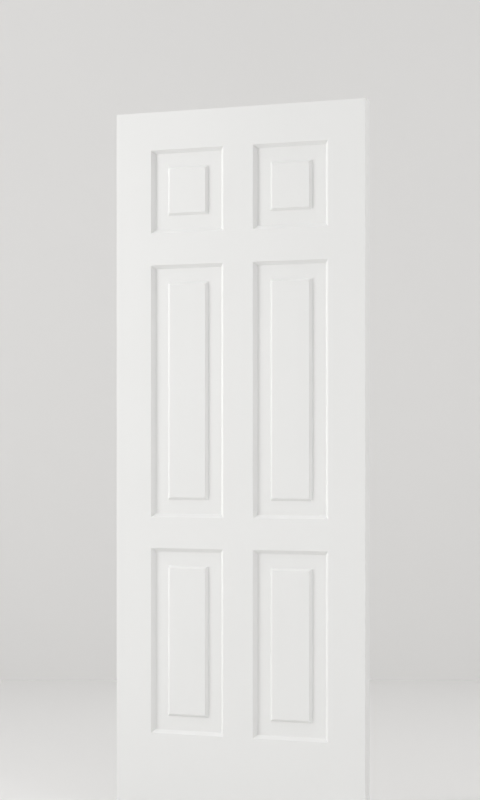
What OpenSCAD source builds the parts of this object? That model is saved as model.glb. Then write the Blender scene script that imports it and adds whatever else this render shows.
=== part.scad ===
// Six-panel interior door leaf in stile-and-rail joinery.
// Millimetres, +Z up. The front faces -Y, and the origin is the middle of the bottom edge.

/* [Leaf] */
// Width of the leaf
door_w = 762; // [686:1:914]
// Height of the leaf
door_h = 2032; // [1981:1:2134]
// Thickness of the leaf
door_t = 35; // [35:1:45]
// Radius of the eased long outer arrises
arris_r = 1.5; // [0.5:0.1:3]

/* [Framing] */
// Face width of each stile, up to its moulding
stile_w = 110; // [100:0.5:125]
// Face width of each mullion, between its mouldings
mullion_w = 91; // [80:0.5:110]
// Face height of the top rail
top_rail_h = 109.5; // [100:0.5:125]
// Face height of the frieze rail, under the small panels
frieze_rail_h = 92; // [84:0.5:110]
// Face height of the lock rail, at hand height
lock_rail_h = 89.5; // [84:0.5:110]
// Face height of the bottom rail
bottom_rail_h = 244; // [190:0.5:280]
// Height of the top openings, mouldings included
top_opening_h = 239.5; // [200:0.5:280]
// Height of the bottom openings, mouldings included
bottom_opening_h = 532.5; // [450:0.5:600]

/* [Moulded edge] */
// Width of the bevel around each opening
bevel_w = 10; // [6:0.5:11]
// Depth of that bevel, from the face down to the panel margin
bevel_d = 10; // [8:0.5:10.5]
// Depth of the panel groove, from the foot of the bevel
groove_d = 13; // [13:0.5:16]

/* [Panels] */
// Thickness of the tongue around each panel
tongue_t = 11; // [10.5:0.5:12]
// Width of the flat margin around the raised field
margin_w = 40; // [30:0.5:45]
// Width of the bevel around the raised field
field_bevel_w = 7; // [4:0.1:9]
// Height of the raised field above the margin
field_rise = 7; // [4:0.5:8]

/* [Dowels] */
// Diameter of a dowel
dowel_d = 10; // [8:0.5:10]
// Length of a dowel between a rail and a stile
rail_dowel_l = 100; // [60:1:120]
// Length of a dowel between a mullion and a rail
mullion_dowel_l = 60; // [40:1:70]
// Distance between neighbouring dowels of a joint
dowel_pitch = 46; // [30:1:50]
// Dowels in each end of a bottom rail
bottom_rail_dowel_n = 4; // [3:1:4]
// Dowels in each end of the other rails and of the mullions
dowel_n = 2; // [1:1:2]
// Number of flutes along a dowel
flute_n = 12; // [8:1:16]
// Depth of a flute
flute_d = 0.5; // [0.3:0.1:0.7]
// Chamfer at each end of a dowel
dowel_chamfer = 1.2; // [0.5:0.1:2]

/* [Clearances] */
// Play at each side of a panel tongue in its groove
tongue_clear = 0.2; // [0.1:0.05:0.5]
// Gap between a panel shoulder and the moulded edge
shoulder_clear = 0.3; // [0.1:0.05:0.6]
// Room left for movement between a panel and the bottom of its groove
panel_play = 1.5; // [0.5:0.1:3]
// Room left for glue at the end of a stub tenon
tenon_clear = 1; // [0.5:0.1:2]
// Play all round a dowel in its hole
dowel_clear = 0.1; // [0.05:0.05:0.2]
// Room left for glue at each end of a dowel
dowel_end_clear = 2; // [1:0.5:3]

/* [Hidden] */
paint_colour = [0.93, 0.93, 0.92];
dowel_colour = [0.82, 0.68, 0.47];
curve_n = 48;
// Overshoot of a cutting shape past the face that it cuts
cut_over = 1;

half_t = door_t / 2;
groove_w = tongue_t + 2 * tongue_clear;
// How far a groove bottom lies behind the line where face and bevel meet
groove_set = groove_d - bevel_w;
opening_w = (door_w - 2 * stile_w - mullion_w) / 2;
opening_x = (mullion_w + opening_w) / 2;
// The line on each side where a stile's face meets the rails
shoulder_x = door_w / 2 - stile_w;
rail_bar_l = 2 * (shoulder_x + groove_set - tenon_clear);
margin_y = half_t - bevel_d;

// Spans of the openings in Z, as [bottom, top]
bottom_opening = [bottom_rail_h, bottom_rail_h + bottom_opening_h];
top_opening = [door_h - top_rail_h - top_opening_h, door_h - top_rail_h];
middle_opening = [bottom_opening[1] + lock_rail_h, top_opening[0] - frieze_rail_h];
// Spans of the rails in Z, as [bottom, top]
bottom_rail_span = [0, bottom_opening[0]];
lock_rail_span = [bottom_opening[1], middle_opening[0]];
frieze_rail_span = [middle_opening[1], top_opening[0]];
top_rail_span = [top_opening[1], door_h];

function middle(span) = (span[0] + span[1]) / 2;
function length(span) = span[1] - span[0];
// Evenly spaced places, centred on zero
function spread(count) = [for (i = [0:count - 1]) (i - (count - 1) / 2) * dowel_pitch];
// A half turn in the drawing plane, which keeps the order of an outline
function turned(points) = [for (p = points) [-p[0], -p[1]]];

// The far side of a member's section: its face ends at a, and a moulded side has a bevel and a groove
function side(a, moulded) = !moulded ? [[a, -half_t], [a, half_t]] : [
    [a, -half_t],
    [a + bevel_w, -margin_y],
    [a + bevel_w, -groove_w / 2],
    [a - groove_set, -groove_w / 2],
    [a - groove_set, groove_w / 2],
    [a + bevel_w, groove_w / 2],
    [a + bevel_w, margin_y],
    [a, half_t]
];

// Section of a frame member with its face between the two ends of span
module member_section(span, near_moulded, far_moulded) {
    polygon(concat(side(span[1], far_moulded), turned(side(-span[0], near_moulded))));
}

// What the easing takes off a corner at the origin with its material towards +X and +Y
module arris_waste() {
    difference() {
        translate([-cut_over, -cut_over])
            square(arris_r + cut_over);
        translate([arris_r, arris_r])
            circle(r = arris_r, $fn = curve_n);
    }
}

// Left stile before its dowel holes are bored
module stile_bar() {
    linear_extrude(height = door_h)
        difference() {
            member_section([-door_w / 2, -shoulder_x], false, true);
            translate([-door_w / 2, -half_t])
                arris_waste();
            mirror([0, 1])
                translate([-door_w / 2, -half_t])
                    arris_waste();
        }
}

// Turns a section drawn in Z and Y into a bar along X
module along_x(bar_l) {
    rotate([0, -90, 0])
        linear_extrude(height = bar_l, center = true)
            children();
}

// Rail before its ends are scribed and bored
module rail_bar(span, moulded_below, moulded_above) {
    along_x(rail_bar_l)
        member_section(span, moulded_below, moulded_above);
}

module bottom_rail_bar() {
    rail_bar(bottom_rail_span, false, true);
}

module lock_rail_bar() {
    rail_bar(lock_rail_span, true, true);
}

module frieze_rail_bar() {
    rail_bar(frieze_rail_span, true, true);
}

module top_rail_bar() {
    rail_bar(top_rail_span, true, false);
}

// Hole for one dowel along Z, centred on the joint
module dowel_hole(dowel_l) {
    cylinder(
        d = dowel_d + 2 * dowel_clear, h = dowel_l + 2 * dowel_end_clear, center = true, $fn = curve_n
    );
}

// One fluted dowel along Z, centred on the joint
module dowel(dowel_l) {
    radius = dowel_d / 2;
    tip = dowel_l / 2;
    intersection() {
        linear_extrude(height = dowel_l, center = true)
            difference() {
                circle(r = radius, $fn = curve_n);
                for (i = [0:flute_n - 1])
                    rotate(i * 360 / flute_n)
                        translate([radius, 0])
                            rotate(45)
                                square(flute_d * sqrt(2), center = true);
            }
        rotate_extrude($fn = curve_n)
            polygon([
                [0, -tip],
                [radius - dowel_chamfer, -tip],
                [radius, dowel_chamfer - tip],
                [radius, tip - dowel_chamfer],
                [radius - dowel_chamfer, tip],
                [0, tip]
            ]);
    }
}

// Puts children, drawn along Z, at every dowel between a rail and the stiles
module at_rail_dowels(span, count) {
    for (x = [-shoulder_x, shoulder_x])
        for (z = spread(count))
            translate([x, 0, middle(span) + z])
                rotate([0, 90, 0])
                    children();
}

// Puts children, drawn along Z, at every dowel between a mullion and the rails
module at_mullion_dowels(opening) {
    for (z = opening)
        for (x = spread(dowel_n))
            translate([x, 0, z])
                children();
}

module rail_holes() {
    at_rail_dowels(bottom_rail_span, bottom_rail_dowel_n)
        dowel_hole(rail_dowel_l);
    for (span = [lock_rail_span, frieze_rail_span, top_rail_span])
        at_rail_dowels(span, dowel_n)
            dowel_hole(rail_dowel_l);
}

module mullion_holes() {
    for (opening = [bottom_opening, middle_opening, top_opening])
        at_mullion_dowels(opening)
            dowel_hole(mullion_dowel_l);
}

module stile() {
    color(paint_colour)
        difference() {
            stile_bar();
            rail_holes();
        }
}

// Scribes a rail's ends over the stiles' mouldings and bores it
module finished_rail() {
    color(paint_colour)
        difference() {
            children();
            stile_bar();
            mirror([1, 0, 0])
                stile_bar();
            rail_holes();
            mullion_holes();
        }
}

// Mullion in one row of openings, scribed over the rails given as children
module mullion(opening) {
    bar_z = opening[0] - groove_set + tenon_clear;
    bar_l = length(opening) + 2 * (groove_set - tenon_clear);
    color(paint_colour)
        difference() {
            translate([0, 0, bar_z])
                linear_extrude(height = bar_l)
                    member_section([-mullion_w / 2, mullion_w / 2], true, true);
            children();
            mullion_holes();
        }
}

// One side of a panel's section, for an opening that ends at a
function panel_side(a) =
    let (foot = a - bevel_w, field_y = margin_y + field_rise)
    let (edge = a + groove_set - panel_play, shoulder = foot - shoulder_clear, field = foot - margin_w)
    [
        [field - field_bevel_w, -field_y],
        [field, -margin_y],
        [shoulder, -margin_y],
        [shoulder, -tongue_t / 2],
        [edge, -tongue_t / 2],
        [edge, tongue_t / 2],
        [shoulder, tongue_t / 2],
        [shoulder, margin_y],
        [field, margin_y],
        [field - field_bevel_w, field_y]
    ];

module panel_section(open_l) {
    polygon(concat(panel_side(open_l / 2), turned(panel_side(open_l / 2))));
}

// Panel raised on both faces: where its two sections cross, their bevels meet in mitres
module panel(opening, side_x) {
    color(paint_colour)
        translate([side_x * opening_x, 0, middle(opening)])
            intersection() {
                linear_extrude(height = length(opening) + 2 * groove_set, center = true)
                    panel_section(opening_w);
                along_x(opening_w + 2 * groove_set)
                    panel_section(length(opening));
            }
}

module rail_dowels(span, count) {
    color(dowel_colour)
        at_rail_dowels(span, count)
            dowel(rail_dowel_l);
}

module mullion_dowels(opening) {
    color(dowel_colour)
        at_mullion_dowels(opening)
            dowel(mullion_dowel_l);
}

module hinge_stile() {
    stile();
}

module lock_stile() {
    mirror([1, 0, 0])
        stile();
}

module top_rail() {
    finished_rail()
        top_rail_bar();
}

module frieze_rail() {
    finished_rail()
        frieze_rail_bar();
}

module lock_rail() {
    finished_rail()
        lock_rail_bar();
}

module bottom_rail() {
    finished_rail()
        bottom_rail_bar();
}

module top_mullion() {
    mullion(top_opening) {
        frieze_rail_bar();
        top_rail_bar();
    }
}

module middle_mullion() {
    mullion(middle_opening) {
        lock_rail_bar();
        frieze_rail_bar();
    }
}

module bottom_mullion() {
    mullion(bottom_opening) {
        bottom_rail_bar();
        lock_rail_bar();
    }
}

hinge_stile();
lock_stile();
top_rail();
frieze_rail();
lock_rail();
bottom_rail();
top_mullion();
middle_mullion();
bottom_mullion();
panel(top_opening, -1);  // top_left_panel
panel(top_opening, 1);  // top_right_panel
panel(middle_opening, -1);  // middle_left_panel
panel(middle_opening, 1);  // middle_right_panel
panel(bottom_opening, -1);  // bottom_left_panel
panel(bottom_opening, 1);  // bottom_right_panel
rail_dowels(top_rail_span, dowel_n);  // top_rail_dowels
rail_dowels(frieze_rail_span, dowel_n);  // frieze_rail_dowels
rail_dowels(lock_rail_span, dowel_n);  // lock_rail_dowels
rail_dowels(bottom_rail_span, bottom_rail_dowel_n);  // bottom_rail_dowels
mullion_dowels(top_opening);  // top_mullion_dowels
mullion_dowels(middle_opening);  // middle_mullion_dowels
mullion_dowels(bottom_opening);  // bottom_mullion_dowels
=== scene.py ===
"""Dresses the six-panel door leaf: painted joinery with eased arrises, bare dowels, a pale studio.

Metres, +Z up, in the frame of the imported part: the front faces -Y, and the origin is the middle of the
leaf's bottom edge.
"""

import logging
import math
from dataclasses import dataclass
from enum import Enum
from functools import cache

import bmesh
import bpy
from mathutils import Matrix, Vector


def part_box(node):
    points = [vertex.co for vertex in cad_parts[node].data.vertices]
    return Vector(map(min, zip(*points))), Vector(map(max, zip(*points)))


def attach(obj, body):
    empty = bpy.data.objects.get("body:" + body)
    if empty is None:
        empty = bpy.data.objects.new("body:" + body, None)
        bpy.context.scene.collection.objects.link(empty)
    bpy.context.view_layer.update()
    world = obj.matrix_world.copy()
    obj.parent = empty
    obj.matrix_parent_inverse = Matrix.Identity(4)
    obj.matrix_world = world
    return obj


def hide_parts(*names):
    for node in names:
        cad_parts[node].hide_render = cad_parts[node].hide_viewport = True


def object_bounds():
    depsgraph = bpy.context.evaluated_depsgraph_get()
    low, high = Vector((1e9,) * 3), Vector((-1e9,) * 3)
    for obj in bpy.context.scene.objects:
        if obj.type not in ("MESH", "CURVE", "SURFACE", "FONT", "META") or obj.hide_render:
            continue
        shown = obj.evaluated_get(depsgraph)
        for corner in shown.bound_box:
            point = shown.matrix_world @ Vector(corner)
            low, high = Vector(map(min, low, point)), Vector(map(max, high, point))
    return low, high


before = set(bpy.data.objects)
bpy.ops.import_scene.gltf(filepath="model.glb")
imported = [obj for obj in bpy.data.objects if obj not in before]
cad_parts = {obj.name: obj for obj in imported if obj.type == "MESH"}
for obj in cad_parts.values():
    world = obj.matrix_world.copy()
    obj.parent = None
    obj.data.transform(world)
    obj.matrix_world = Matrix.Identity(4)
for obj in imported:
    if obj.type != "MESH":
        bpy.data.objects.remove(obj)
cad_low, cad_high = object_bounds()

log = logging.getLogger("door")

MM = 0.001
BODY = "root"
# Two points of the solids this close together are one place
SLACK = 0.02 * MM
# Facets that turn by less than this belong to one flat face
FLAT_TURN = math.radians(0.3)
# Edges that turn by more than this stay crisp in the shading
CRISP_TURN = math.radians(32)
# Faces narrower than this are facets of a rounding, and the wider ones are flat
ROUNDING_WIDTH = 1.5 * MM
# Facets across an eased arris or a paint fillet
EASE_STEPS = 3
# Decimals of a metre to which places are compared
DIGITS = 6
# Places of the colours among the sockets of a Mix node, which has a set for each kind of value
MIX_FIRST, MIX_SECOND, MIX_RESULT = 6, 7, 2

Colour = tuple[float, float, float]
Span = tuple[Vector, Vector]


class Grain(Enum):
    """Which way the timber runs under the paint, as the index of its axis."""

    LEVEL = 0
    UPRIGHT = 2


class Row(Enum):
    """A row of two openings, with the rails below and above it."""

    TOP = ("top", "frieze_rail", "top_rail")
    MIDDLE = ("middle", "lock_rail", "frieze_rail")
    BOTTOM = ("bottom", "bottom_rail", "lock_rail")

    @property
    def label(self) -> str:
        """The row's word in the names of its nodes."""
        return self.value[0]


def add_node(tree: bpy.types.NodeTree, kind: str, **values: object) -> bpy.types.Node:
    """Adds a shader node and sets its properties and the values of its inputs.

    Args:
        tree: The material's, world's or group's node tree.
        kind: The node's type, without its common prefix.
        values: A property's name, or an input's name with underscores for spaces, and its value.

    Returns:
        The new node.
    """
    node = tree.nodes.new(f"ShaderNode{kind}")
    for name, value in values.items():
        if hasattr(node, name):
            setattr(node, name, value)
        else:
            node.inputs[name.replace("_", " ")].default_value = value
    return node


def new_group(name: str, inputs: dict[str, str], outputs: tuple[str, ...]) -> bpy.types.NodeTree:
    """Starts a shader node group with named sockets.

    Args:
        name: The group's name.
        inputs: Each input's name and the kind of its socket.
        outputs: The names of the outputs, which are all values.

    Returns:
        The group's tree, with its input and output nodes.
    """
    tree = bpy.data.node_groups.new(name, "ShaderNodeTree")
    for label, kind in inputs.items():
        tree.interface.new_socket(label, in_out="INPUT", socket_type=f"NodeSocket{kind}")
    for label in outputs:
        tree.interface.new_socket(label, in_out="OUTPUT", socket_type="NodeSocketFloat")
    tree.nodes.new("NodeGroupInput")
    tree.nodes.new("NodeGroupOutput")
    return tree


class Effects:
    """The effects that the finishes share, each a node group that is built once."""

    def __init__(self) -> None:
        """Builds every group."""
        self.roller_stipple = self._roller_stipple()
        self.timber_grain = self._timber_grain()
        self.tone_drift = self._tone_drift()

    @staticmethod
    def place(tree: bpy.types.NodeTree, group: bpy.types.NodeTree, **values: object) -> bpy.types.Node:
        """Puts a group into a material's tree with its own values.

        Args:
            tree: The material's node tree.
            group: The effect's group.
            values: The group's inputs and their values.

        Returns:
            The node that holds the group.
        """
        return add_node(tree, "Group", node_tree=group, **values)

    @staticmethod
    def _scaled_place(tree: bpy.types.NodeTree, size: bpy.types.NodeSocket) -> bpy.types.NodeSocket:
        """Measures the place on the object in units of a size.

        Args:
            tree: The group's tree.
            size: The socket that gives the size in metres.

        Returns:
            The socket of the scaled place.
        """
        place = add_node(tree, "TexCoord")
        scaled = add_node(tree, "VectorMath", operation="DIVIDE")
        tree.links.new(place.outputs["Object"], scaled.inputs[0])
        tree.links.new(size, scaled.inputs[1])
        return scaled.outputs[0]

    def _roller_stipple(self) -> bpy.types.NodeTree:
        """Builds the soft peaks that a fine roller leaves in paint.

        Returns:
            The group, with its Height from 0 to 1.
        """
        tree = new_group("roller_stipple", {"Size": "Float"}, ("Height",))
        given, result = tree.nodes["Group Input"], tree.nodes["Group Output"]
        peaks = add_node(tree, "TexNoise", Scale=1.0, Detail=2.0, Roughness=0.4, Distortion=0.3)
        level = add_node(tree, "MapRange", interpolation_type="SMOOTHSTEP", From_Min=0.3, From_Max=0.7)
        tree.links.new(self._scaled_place(tree, given.outputs["Size"]), peaks.inputs["Vector"])
        tree.links.new(peaks.outputs[0], level.inputs["Value"])
        tree.links.new(level.outputs[0], result.inputs["Height"])
        return tree

    def _timber_grain(self) -> bpy.types.NodeTree:
        """Builds growth bands and fine fibres that are long in one direction.

        Returns:
            The group, with Tone for the bands and Height for the bands and fibres, from 0 to 1.
        """
        tree = new_group("timber_grain", {"Band": "Vector", "Fibre": "Vector"}, ("Tone", "Height"))
        given, result = tree.nodes["Group Input"], tree.nodes["Group Output"]
        bands = add_node(tree, "TexNoise", Scale=1.0, Detail=3.0, Roughness=0.5, Distortion=0.8)
        fibres = add_node(tree, "TexNoise", Scale=1.0, Detail=4.0, Roughness=0.6)
        both = add_node(tree, "Mix", data_type="FLOAT", Factor=0.6)
        tree.links.new(self._scaled_place(tree, given.outputs["Band"]), bands.inputs["Vector"])
        tree.links.new(self._scaled_place(tree, given.outputs["Fibre"]), fibres.inputs["Vector"])
        tree.links.new(bands.outputs[0], both.inputs["A"])
        tree.links.new(fibres.outputs[0], both.inputs["B"])
        tree.links.new(bands.outputs[0], result.inputs["Tone"])
        tree.links.new(both.outputs[0], result.inputs["Height"])
        return tree

    def _tone_drift(self) -> bpy.types.NodeTree:
        """Builds a slow change of tone over the surface.

        Returns:
            The group, with its Tone from 0 to 1.
        """
        tree = new_group("tone_drift", {"Size": "Float"}, ("Tone",))
        given, result = tree.nodes["Group Input"], tree.nodes["Group Output"]
        clouds = add_node(tree, "TexNoise", Scale=1.0, Detail=1.5, Roughness=0.5)
        level = add_node(tree, "MapRange", From_Min=0.25, From_Max=0.75)
        tree.links.new(self._scaled_place(tree, given.outputs["Size"]), clouds.inputs["Vector"])
        tree.links.new(clouds.outputs[0], level.inputs["Value"])
        tree.links.new(level.outputs[0], result.inputs["Tone"])
        return tree


def new_material(name: str) -> tuple[bpy.types.Material, bpy.types.Node]:
    """Starts a material.

    Args:
        name: The material's name.

    Returns:
        The material and its Principled shader.
    """
    material = bpy.data.materials.new(name)
    material.use_nodes = True
    return material, material.node_tree.nodes["Principled BSDF"]


def tone_range(colour: Colour, spread: float) -> tuple[tuple[float, ...], tuple[float, ...]]:
    """Works out the darkest and lightest tone of a colour.

    Args:
        colour: The middle tone, in linear light.
        spread: How far the tone goes to each side, as a share of the colour.

    Returns:
        The dark and the light tone, with their alpha.
    """
    dark = tuple(channel * (1 - spread) for channel in colour)
    light = tuple(channel * (1 + spread) for channel in colour)
    return (*dark, 1.0), (*light, 1.0)


def vary_tone(shader: bpy.types.Node, mask: bpy.types.NodeSocket, colour: Colour, spread: float) -> None:
    """Lets a shader's base colour go from a darker to a lighter tone.

    Args:
        shader: The material's Principled shader.
        mask: The socket that gives the tone, from 0 to 1.
        colour: The middle tone, in linear light.
        spread: How far the tone goes to each side, as a share of the colour.
    """
    tree = shader.id_data
    dark, light = tone_range(colour, spread)
    tone = add_node(tree, "Mix", data_type="RGBA")
    tone.inputs[MIX_FIRST].default_value = dark
    tone.inputs[MIX_SECOND].default_value = light
    tree.links.new(mask, tone.inputs["Factor"])
    tree.links.new(tone.outputs[MIX_RESULT], shader.inputs["Base Color"])


def along(grain: Grain, length: float, width: float) -> tuple[float, float, float]:
    """Gives a pattern's size on each axis, long in the direction of the grain."""
    return tuple(length if axis == grain.value else width for axis in range(3))


@dataclass(frozen=True)
class PaintFilm:
    """White satin paint, rolled and laid off over primed timber."""

    colour: Colour = (0.80, 0.80, 0.79)
    tone_spread: float = 0.006
    drift_size: float = 0.35
    roughness: float = 0.42
    roughness_spread: float = 0.03
    stipple_size: float = 1.6 * MM
    stipple_depth: float = 0.004 * MM
    grain_length: float = 220 * MM
    grain_width: float = 9 * MM
    fibre_length: float = 40 * MM
    fibre_width: float = 0.9 * MM
    grain_depth: float = 0.006 * MM

    def material(self, effects: Effects, grain: Grain) -> bpy.types.Material:
        """Makes the paint for pieces whose timber runs one way.

        Args:
            effects: The shared effects.
            grain: Which way the timber runs.

        Returns:
            The material.
        """
        made, shader = new_material(f"satin_paint_{grain.name.lower()}")
        tree = made.node_tree
        drift = effects.place(tree, effects.tone_drift, Size=self.drift_size)
        stipple = effects.place(tree, effects.roller_stipple, Size=self.stipple_size)
        timber = effects.place(
            tree,
            effects.timber_grain,
            Band=along(grain, self.grain_length, self.grain_width),
            Fibre=along(grain, self.fibre_length, self.fibre_width),
        )
        sheen = add_node(
            tree,
            "MapRange",
            To_Min=self.roughness - self.roughness_spread,
            To_Max=self.roughness + self.roughness_spread,
        )
        raised = add_node(tree, "Bump", Distance=self.grain_depth, Strength=1.0)
        rolled = add_node(tree, "Bump", Distance=self.stipple_depth, Strength=1.0)
        vary_tone(shader, drift.outputs["Tone"], self.colour, self.tone_spread)
        tree.links.new(drift.outputs["Tone"], sheen.inputs["Value"])
        tree.links.new(sheen.outputs[0], shader.inputs["Roughness"])
        tree.links.new(timber.outputs["Height"], raised.inputs["Height"])
        tree.links.new(stipple.outputs["Height"], rolled.inputs["Height"])
        tree.links.new(raised.outputs[0], rolled.inputs["Normal"])
        tree.links.new(rolled.outputs[0], shader.inputs["Normal"])
        return made


@dataclass(frozen=True)
class BareBeech:
    """Bare turned beech, as dowels are sold."""

    colour: Colour = (0.62, 0.43, 0.24)
    tone_spread: float = 0.16
    roughness: float = 0.62
    grain_length: float = 45 * MM
    grain_width: float = 2.5 * MM
    fibre_length: float = 5 * MM
    fibre_width: float = 0.25 * MM
    grain_depth: float = 0.03 * MM

    def material(self, effects: Effects, grain: Grain) -> bpy.types.Material:
        """Makes the beech for dowels that lie one way.

        Args:
            effects: The shared effects.
            grain: Which way the dowels lie.

        Returns:
            The material.
        """
        made, shader = new_material(f"bare_beech_{grain.name.lower()}")
        tree = made.node_tree
        timber = effects.place(
            tree,
            effects.timber_grain,
            Band=along(grain, self.grain_length, self.grain_width),
            Fibre=along(grain, self.fibre_length, self.fibre_width),
        )
        fibres = add_node(tree, "Bump", Distance=self.grain_depth, Strength=1.0)
        shader.inputs["Roughness"].default_value = self.roughness
        vary_tone(shader, timber.outputs["Tone"], self.colour, self.tone_spread)
        tree.links.new(timber.outputs["Height"], fibres.inputs["Height"])
        tree.links.new(fibres.outputs[0], shader.inputs["Normal"])
        return made


@dataclass(frozen=True)
class StudioPaint:
    """Flat pale paint on the floor and backdrop."""

    name: str
    colour: Colour
    tone_spread: float = 0.004
    drift_size: float = 1.8
    roughness: float = 0.9
    # Whether the back of the surface lets the camera see through
    open_behind: bool = False

    def material(self, effects: Effects) -> bpy.types.Material:
        """Makes the paint.

        Args:
            effects: The shared effects.

        Returns:
            The material.
        """
        made, shader = new_material(self.name)
        tree = made.node_tree
        drift = effects.place(tree, effects.tone_drift, Size=self.drift_size)
        shader.inputs["Roughness"].default_value = self.roughness
        vary_tone(shader, drift.outputs["Tone"], self.colour, self.tone_spread)
        if self.open_behind:
            side = add_node(tree, "NewGeometry")
            clear = add_node(tree, "BsdfTransparent")
            either = add_node(tree, "MixShader")
            tree.links.new(side.outputs["Backfacing"], either.inputs[0])
            tree.links.new(shader.outputs[0], either.inputs[1])
            tree.links.new(clear.outputs[0], either.inputs[2])
            tree.links.new(either.outputs[0], tree.nodes["Material Output"].inputs["Surface"])
        return made


def corners_of(points: list[Vector]) -> Span:
    """Finds the lowest and highest corner of some points."""
    return Vector([min(c) for c in zip(*points)]), Vector([max(c) for c in zip(*points)])


def node_points(node: str) -> list[Vector]:
    """Lists the points of a CAD node's mesh."""
    return [vertex.co.copy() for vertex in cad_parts[node].data.vertices]


@cache
def face_span(node: str) -> Span:
    """Measures the part of a CAD node that lies foremost.

    Args:
        node: The node's name.

    Returns:
        The lowest and highest corner of the node's front face.
    """
    points = node_points(node)
    front = min(point.y for point in points)
    return corners_of([point for point in points if point.y - front < SLACK])


def whole_faces(node: str) -> bmesh.types.BMesh:
    """Copies a CAD node's mesh, welded, with its flat facets merged into whole faces.

    Args:
        node: The node's name.

    Returns:
        The copy.
    """
    shape = bmesh.new()
    shape.from_mesh(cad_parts[node].data)
    bmesh.ops.remove_doubles(shape, verts=shape.verts, dist=SLACK)
    bmesh.ops.dissolve_limit(shape, angle_limit=FLAT_TURN, verts=shape.verts, edges=shape.edges)
    return shape


def ease(shape: bmesh.types.BMesh, edges: list[bmesh.types.BMEdge], width: float) -> None:
    """Rounds some edges of a shape over.

    Args:
        shape: The mesh.
        edges: The edges to round.
        width: How far the rounding reaches on each of the two faces.
    """
    bmesh.ops.bevel(
        shape,
        geom=edges,
        offset=width,
        offset_type="OFFSET",
        segments=EASE_STEPS,
        profile=0.5,
        affect="EDGES",
        clamp_overlap=False,
    )


def mean_width(face: bmesh.types.BMFace) -> float:
    """Works out how wide a face is across its longest edge."""
    return face.calc_area() / max(edge.calc_length() for edge in face.edges)


def place_piece(shape: bmesh.types.BMesh, node: str, material: bpy.types.Material) -> bpy.types.Object:
    """Turns a shape into the piece that stands for a painted CAD node.

    Args:
        shape: The piece's mesh, which is used up.
        node: The CAD node.
        material: The piece's finish.

    Returns:
        The piece.
    """
    name = f"{node}_painted"
    bmesh.ops.recalc_face_normals(shape, faces=shape.faces)
    for face in shape.faces:
        face.smooth = mean_width(face) < ROUNDING_WIDTH
    for edge in shape.edges:
        edge.smooth = edge.calc_face_angle(0.0) < CRISP_TURN
    mesh = bpy.data.meshes.new(name)
    shape.to_mesh(mesh)
    shape.free()
    mesh.materials.append(material)
    piece = bpy.data.objects.new(name, mesh)
    bpy.context.scene.collection.objects.link(piece)
    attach(piece, BODY)
    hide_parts(node)
    log.info("%s: %d faces in %s", name, len(mesh.polygons), material.name)
    return piece


@dataclass(frozen=True)
class Opening:
    """One panel opening, by the arrises where its mouldings start at the face."""

    left: float
    right: float
    bottom: float
    top: float

    @classmethod
    def in_row(cls, row: Row, left_node: str, right_node: str) -> "Opening":
        """Measures an opening between two uprights.

        Args:
            row: The row that the opening is in.
            left_node: The upright on its left.
            right_node: The upright on its right.

        Returns:
            The opening.
        """
        _, below, above = row.value
        return cls(
            left=face_span(left_node)[1].x,
            right=face_span(right_node)[0].x,
            bottom=face_span(below)[1].z,
            top=face_span(above)[0].z,
        )

    def has_arris(self, start: Vector, end: Vector) -> bool:
        """Tells whether a line runs along one of the opening's arrises.

        Args:
            start: The line's start.
            end: The line's end.

        Returns:
            True if the whole line lies on one side of the opening, at either face.
        """
        within = all(
            self.left - SLACK < point.x < self.right + SLACK
            and self.bottom - SLACK < point.z < self.top + SLACK
            and abs(abs(point.y) - cad_high.y) < SLACK
            for point in (start, end)
        )
        upright = any(max(abs(start.x - x), abs(end.x - x)) < SLACK for x in (self.left, self.right))
        level = any(max(abs(start.z - z), abs(end.z - z)) < SLACK for z in (self.bottom, self.top))
        return within and (upright or level)


@dataclass
class FrameMember:
    """A stile, rail or mullion under paint: the arrises that show are eased, and the joints stay flush."""

    node: str
    grain: Grain
    openings: tuple[Opening, ...]
    # How far the easing reaches on each face, at the openings and at the leaf's ends
    arris: float = 0.5 * MM
    end_arris: float = 0.6 * MM

    def build(self, paint: dict[Grain, bpy.types.Material]) -> bpy.types.Object:
        """Makes the painted piece.

        Args:
            paint: The paint for each way of the grain.

        Returns:
            The piece.
        """
        shape = whole_faces(self.node)
        self.split_at_corners(shape)
        ease(shape, [edge for edge in shape.edges if self.meets_opening(edge)], self.arris)
        ease(shape, [edge for edge in shape.edges if self.ends_leaf(edge)], self.end_arris)
        return place_piece(shape, self.node, paint[self.grain])

    def split_at_corners(self, shape: bmesh.types.BMesh) -> None:
        """Parts the member's long edges where an opening's corner meets them.

        Args:
            shape: The member's mesh.
        """
        axis = self.grain.value
        low, high = (corner[axis] for corner in face_span(self.node))
        corners = {
            round(place, DIGITS)
            for opening in self.openings
            for place in ((opening.left, opening.right) if axis == 0 else (opening.bottom, opening.top))
        }
        run = Vector([float(i == axis) for i in range(3)])
        for place in sorted(corners):
            if low + SLACK < place < high - SLACK:
                whole = [*shape.verts, *shape.edges, *shape.faces]
                bmesh.ops.bisect_plane(shape, geom=whole, dist=SLACK, plane_co=run * place, plane_no=run)

    def meets_opening(self, edge: bmesh.types.BMEdge) -> bool:
        """Tells whether an edge is an arris of an opening."""
        start, end = (vertex.co for vertex in edge.verts)
        return any(opening.has_arris(start, end) for opening in self.openings)

    @staticmethod
    def ends_leaf(edge: bmesh.types.BMEdge) -> bool:
        """Tells whether an edge shows around the leaf's top or bottom end.

        Args:
            edge: The edge.

        Returns:
            True if the edge lies in an end of the leaf, on a face or on the eased outer edge of a stile.
        """
        start, end = (vertex.co for vertex in edge.verts)
        at_end = any(max(abs(start.z - z), abs(end.z - z)) < SLACK for z in (cad_low.z, cad_high.z))
        middle = (start + end) / 2
        at_face = abs(abs(middle.y) - cad_high.y) < SLACK
        at_edge = abs(middle.x) > face_span("lock_stile")[1].x - SLACK
        return at_end and (at_face or at_edge)


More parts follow.
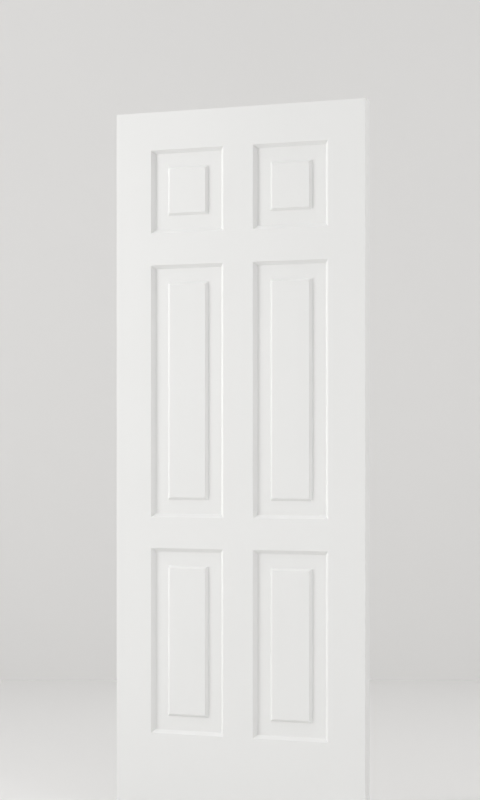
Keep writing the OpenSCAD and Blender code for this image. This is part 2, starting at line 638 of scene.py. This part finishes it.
@dataclass
class RaisedPanel:
    """A panel with a tongue all round and a raised field on both faces, lofted from its half section."""

    node: str
    # Radius of the eased arris around the field, and of the paint that fills the foot of its bevel
    arris_radius: float = 1.2 * MM
    fillet_radius: float = 0.6 * MM

    def build(self, paint: dict[Grain, bpy.types.Material]) -> bpy.types.Object:
        """Makes the painted piece.

        Args:
            paint: The paint for each way of the grain.

        Returns:
            The piece.
        """
        low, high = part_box(self.node)
        half = self.half_section()
        whole = [(inset, -height) for inset, height in half[::-1]] + half
        shape = bmesh.new()
        rings = []
        for inset, y in whole:
            left, right = low.x + inset, high.x - inset
            bottom, top = low.z + inset, high.z - inset
            outline = ((left, bottom), (right, bottom), (right, top), (left, top))
            rings.append([shape.verts.new((x, y, z)) for x, z in outline])
        for ring, following in zip(rings, rings[1:]):
            for i in range(4):
                shape.faces.new((ring[i - 1], ring[i], following[i], following[i - 1]))
        shape.faces.new(rings[0])
        shape.faces.new(rings[-1][::-1])
        return place_piece(shape, self.node, paint[Grain.UPRIGHT])

    def half_section(self) -> list[tuple[float, float]]:
        """Measures the panel's section on the solid and rounds the corners of its field.

        Returns:
            Points from the tongue's edge to the field, as the inset from the edge and the height above
            the middle of the panel.
        """
        low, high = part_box(self.node)
        back = {
            (round(high.x - point.x, DIGITS), round(point.y, DIGITS))
            for point in node_points(self.node)
            if point.y > 0 and 2 * point.x > low.x + high.x
        }
        tongue, margin, field = sorted({height for _, height in back})
        edge, _ = sorted({inset for inset, height in back if height == tongue})
        _, foot = sorted({inset for inset, height in back if height == margin})
        shoulder = self.tongue_reach()
        (crest,) = {inset for inset, height in back if height == field}
        middle = (high.x - low.x) / 2
        rounded_foot = self.rounded((shoulder, margin), (foot, margin), (crest, field), self.fillet_radius)
        rounded_crest = self.rounded((foot, margin), (crest, field), (middle, field), self.arris_radius)
        return [(edge, tongue), (shoulder, tongue), (shoulder, margin), *rounded_foot, *rounded_crest]

    @staticmethod
    def tongue_reach() -> float:
        """Measures how far a tongue goes behind the moulded edge, up to which paint closes the joint."""
        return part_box("hinge_stile")[1].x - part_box("top_left_panel")[0].x

    @staticmethod
    def rounded(
        before: tuple[float, float], corner: tuple[float, float], after: tuple[float, float], radius: float
    ) -> list[tuple[float, float]]:
        """Rounds one corner of a section.

        Args:
            before: The point before the corner.
            corner: The corner.
            after: The point after the corner.
            radius: The radius of the arc.

        Returns:
            The points of the arc.
        """
        here = Vector(corner)
        back = (Vector(before) - here).normalized()
        ahead = (Vector(after) - here).normalized()
        half_angle = back.angle(ahead) / 2
        inward = (back + ahead).normalized()
        centre = here + inward * (radius / math.sin(half_angle))
        start = here + back * (radius / math.tan(half_angle)) - centre
        end = here + ahead * (radius / math.tan(half_angle)) - centre
        steps = [i / EASE_STEPS for i in range(EASE_STEPS + 1)]
        return [tuple(centre + start.slerp(end, share) * radius) for share in steps]


@dataclass
class DowelSet:
    """The fluted dowels of one row of joints, hidden in their bores: their solids in bare beech."""

    node: str
    grain: Grain

    def dress(self, beech: dict[Grain, bpy.types.Material]) -> None:
        """Gives the dowels their finish.

        Args:
            beech: The beech for each way of the grain.
        """
        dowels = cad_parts[self.node]
        dowels.data.materials.clear()
        dowels.data.materials.append(beech[self.grain])
        log.info("%s: %d faces in %s", self.node, len(dowels.data.polygons), beech[self.grain].name)


@dataclass
class Leaf:
    """The whole door leaf: framing, panels and dowels."""

    paint: PaintFilm
    beech: BareBeech

    def build(self, effects: Effects) -> None:
        """Makes and dresses every piece.

        Args:
            effects: The shared effects.
        """
        paint = {grain: self.paint.material(effects, grain) for grain in Grain}
        beech = {grain: self.beech.material(effects, grain) for grain in Grain}
        openings = self.openings()
        for node in ("hinge_stile", "lock_stile"):
            FrameMember(node, Grain.UPRIGHT, openings).build(paint)
        for node in ("top_rail", "frieze_rail", "lock_rail", "bottom_rail"):
            FrameMember(node, Grain.LEVEL, openings).build(paint)
            DowelSet(f"{node}_dowels", Grain.LEVEL).dress(beech)
        for row in Row:
            FrameMember(f"{row.label}_mullion", Grain.UPRIGHT, openings).build(paint)
            DowelSet(f"{row.label}_mullion_dowels", Grain.UPRIGHT).dress(beech)
            for side in ("left", "right"):
                RaisedPanel(f"{row.label}_{side}_panel").build(paint)

    @staticmethod
    def openings() -> tuple[Opening, ...]:
        """Measures the six openings."""
        found = []
        for row in Row:
            mullion = f"{row.label}_mullion"
            found.append(Opening.in_row(row, "hinge_stile", mullion))
            found.append(Opening.in_row(row, mullion, "lock_stile"))
        return tuple(found)


@dataclass(frozen=True)
class PhotoCamera:
    """The camera, level, at eye height to the right of the leaf."""

    image_height: int = 800
    focal_px: float = 2048.0
    # Image row of the horizon, which a risen lens puts below the middle
    horizon_px: float = 447.17
    # How far the camera stands to the right of the leaf's own axis
    bearing: float = math.radians(22.3)
    distance: float = 5.802
    eye_height: float = 1.067
    aim_x: float = 6.3 * MM
    sensor: float = 36.0

    @property
    def ahead(self) -> Vector:
        """The level direction that the camera looks in."""
        return Vector((-math.sin(self.bearing), math.cos(self.bearing), 0))

    @property
    def place(self) -> Vector:
        """Where the camera stands."""
        return Vector((self.aim_x, cad_low.y, self.eye_height)) - self.ahead * self.distance

    def build(self) -> bpy.types.Object:
        """Makes the scene's camera.

        Returns:
            The camera.
        """
        data = bpy.data.cameras.new("photo_camera")
        data.sensor_fit = "VERTICAL"
        data.sensor_height = self.sensor
        data.lens = self.sensor * self.focal_px / self.image_height
        data.shift_y = self.horizon_px / self.image_height - 0.5
        camera = bpy.data.objects.new("photo_camera", data)
        camera.location = self.place
        camera.rotation_euler = (math.pi / 2, 0, self.bearing)
        bpy.context.scene.collection.objects.link(camera)
        bpy.context.scene.camera = camera
        return camera


@dataclass(frozen=True)
class SoftBox:
    """An upright soft lamp that the camera doesn't see."""

    name: str
    # Degrees to the left of the leaf's normal, as the leaf's front is seen
    bearing: float
    bottom: float
    top: float
    watts: float
    distance: float = 4.5
    width: float = 0.9
    # Degrees that its light fans out over, fewer where a grid keeps it off the floor
    fan: float = 180.0
    # The point of the plan that it faces
    aim: tuple[float, float] = (0.0, 0.0)

    def build(self) -> bpy.types.Object:
        """Makes the lamp.

        Returns:
            The lamp.
        """
        data = bpy.data.lights.new(self.name, "AREA")
        data.shape = "RECTANGLE"
        data.size, data.size_y, data.energy = self.width, self.top - self.bottom, self.watts
        data.spread = math.radians(self.fan)
        lamp = bpy.data.objects.new(self.name, data)
        turn = math.radians(self.bearing)
        foot = Vector((-math.sin(turn), -math.cos(turn), 0)) * self.distance
        lamp.location = foot + Vector((0, 0, (self.bottom + self.top) / 2))
        facing = Vector((*self.aim, 0)) - foot
        lamp.rotation_euler = facing.to_track_quat("-Z", "Y").to_euler()
        lamp.visible_camera = False
        bpy.context.scene.collection.objects.link(lamp)
        log.info("%s: %.1f W", self.name, self.watts)
        return lamp


@dataclass(frozen=True)
class Studio:
    """Floor, backdrop, lamps and the light of the room."""

    camera: PhotoCamera
    lamps: tuple[SoftBox, ...]
    floor_paint: StudioPaint
    backdrop_paint: StudioPaint
    room_colour: Colour = (1.0, 1.0, 1.0)
    # The room's light straight from overhead, from where it falls to nothing at the horizon
    overhead_strength: float = 1.13
    # What the camera and gloss see past the floor's edge
    far_colour: Colour = (0.69, 0.685, 0.672)
    floor_reach: float = 60.0
    # From the camera to the backdrop
    backdrop_depth: float = 9.37
    backdrop_half_width: float = 20.0
    backdrop_height: float = 9.0

    def build(self, effects: Effects) -> None:
        """Makes the studio.

        Args:
            effects: The shared effects.
        """
        self.light_room()
        for lamp in self.lamps:
            lamp.build()
        reach = self.floor_reach
        corners = [(-reach, -reach), (reach, -reach), (reach, reach), (-reach, reach)]
        floor = [Vector((x, y, cad_low.z)) for x, y in corners]
        self.place_sheet("floor", floor, [(0, 1, 2, 3)], self.floor_paint.material(effects))
        self.build_backdrop(effects)

    def build_backdrop(self, effects: Effects) -> None:
        """Makes the wall behind the leaf, square to the camera.

        Args:
            effects: The shared effects.
        """
        ahead = self.camera.ahead
        aside = Vector((ahead.y, -ahead.x, 0)) * self.backdrop_half_width
        foot = self.camera.place + ahead * self.backdrop_depth
        foot.z = cad_low.z
        rise = Vector((0, 0, self.backdrop_height))
        wall = [foot - aside, foot + aside, foot + aside + rise, foot - aside + rise]
        self.place_sheet("backdrop", wall, [(0, 1, 2, 3)], self.backdrop_paint.material(effects))

    @staticmethod
    def place_sheet(
        name: str, points: list[Vector], faces: list[tuple[int, ...]], material: bpy.types.Material
    ) -> bpy.types.Object:
        """Makes a piece of the stage.

        Args:
            name: Its name.
            points: Its points.
            faces: The points of each face.
            material: Its finish.

        Returns:
            The stage piece.
        """
        mesh = bpy.data.meshes.new(name)
        mesh.from_pydata(points, [], faces)
        mesh.materials.append(material)
        sheet = bpy.data.objects.new(name, mesh)
        bpy.context.scene.collection.objects.link(sheet)
        log.info("%s: stage", name)
        return sheet

    def light_room(self) -> None:
        """Makes the world: soft light from overhead, and a pale colour for what looks into it."""
        world = bpy.data.worlds.new("room")
        bpy.context.scene.world = world
        world.use_nodes = True
        tree = world.node_tree
        light = tree.nodes["Background"]
        light.inputs["Color"].default_value = (*self.room_colour, 1.0)
        direction = add_node(tree, "TexCoord")
        parts = add_node(tree, "SeparateXYZ")
        upward = add_node(tree, "Math", operation="MAXIMUM")
        upward.inputs[1].default_value = 0.0
        strength = add_node(tree, "Math", operation="MULTIPLY")
        strength.inputs[1].default_value = self.overhead_strength
        tree.links.new(direction.outputs["Generated"], parts.inputs[0])
        tree.links.new(parts.outputs["Z"], upward.inputs[0])
        tree.links.new(upward.outputs[0], strength.inputs[0])
        tree.links.new(strength.outputs[0], light.inputs["Strength"])
        far = add_node(tree, "Background", Color=(*self.far_colour, 1.0), Strength=1.0)
        ray = add_node(tree, "LightPath")
        camera_or_gloss = add_node(tree, "Math", operation="MAXIMUM")
        seen = add_node(tree, "Math", operation="MAXIMUM")
        either = add_node(tree, "MixShader")
        tree.links.new(ray.outputs["Is Camera Ray"], camera_or_gloss.inputs[0])
        tree.links.new(ray.outputs["Is Glossy Ray"], camera_or_gloss.inputs[1])
        tree.links.new(camera_or_gloss.outputs[0], seen.inputs[0])
        tree.links.new(ray.outputs["Is Transmission Ray"], seen.inputs[1])
        tree.links.new(seen.outputs[0], either.inputs[0])
        tree.links.new(light.outputs[0], either.inputs[1])
        tree.links.new(far.outputs[0], either.inputs[2])
        tree.links.new(either.outputs[0], tree.nodes["World Output"].inputs["Surface"])


def studio_lamps() -> tuple[SoftBox, ...]:
    """Lists the lamps: keys at three heights on the left, weaker fills on the right, one for the backdrop.

    Returns:
        The lamps.
    """
    key, right = 58, -50
    high = {"bottom": 3.2, "top": 4.6}
    low = {"bottom": 0.2, "top": 1.6, "distance": 7.0, "width": 1.2, "fan": 60}
    behind = {"bottom": 0.6, "top": 2.6, "distance": 2.27, "width": 1.0, "aim": (-0.49, 3.58)}
    return (
        SoftBox("high_key", bearing=key, watts=49, **high),
        SoftBox("key_softbox", bearing=key, watts=55.5, bottom=1.6, top=3.4),
        SoftBox("low_key", bearing=68, watts=10.7, **low),
        SoftBox("front_fill", bearing=-25, watts=7.5, bottom=0.3, top=3.4),
        SoftBox("low_right_fill", bearing=right, watts=6.6, **low),
        SoftBox("high_right_fill", bearing=right, watts=17, **high),
        SoftBox("edge_fill", bearing=-100, watts=53, bottom=3.0, top=4.6),
        SoftBox("backdrop_lamp", bearing=-153.5, watts=1.3, **behind),
    )


def main() -> None:
    """Builds the camera, the leaf and the studio."""
    logging.basicConfig(level=logging.INFO, format="%(name)s: %(message)s")
    bpy.context.scene.view_settings.view_transform = "Standard"
    effects = Effects()
    camera = PhotoCamera()
    camera.build()
    Leaf(PaintFilm(), BareBeech()).build(effects)
    studio = Studio(
        camera=camera,
        lamps=studio_lamps(),
        floor_paint=StudioPaint("studio_floor", colour=(0.752, 0.746, 0.736)),
        backdrop_paint=StudioPaint("studio_backdrop", colour=(0.800, 0.793, 0.783), open_behind=True),
    )
    studio.build(effects)


if __name__ == "__main__":
    main()
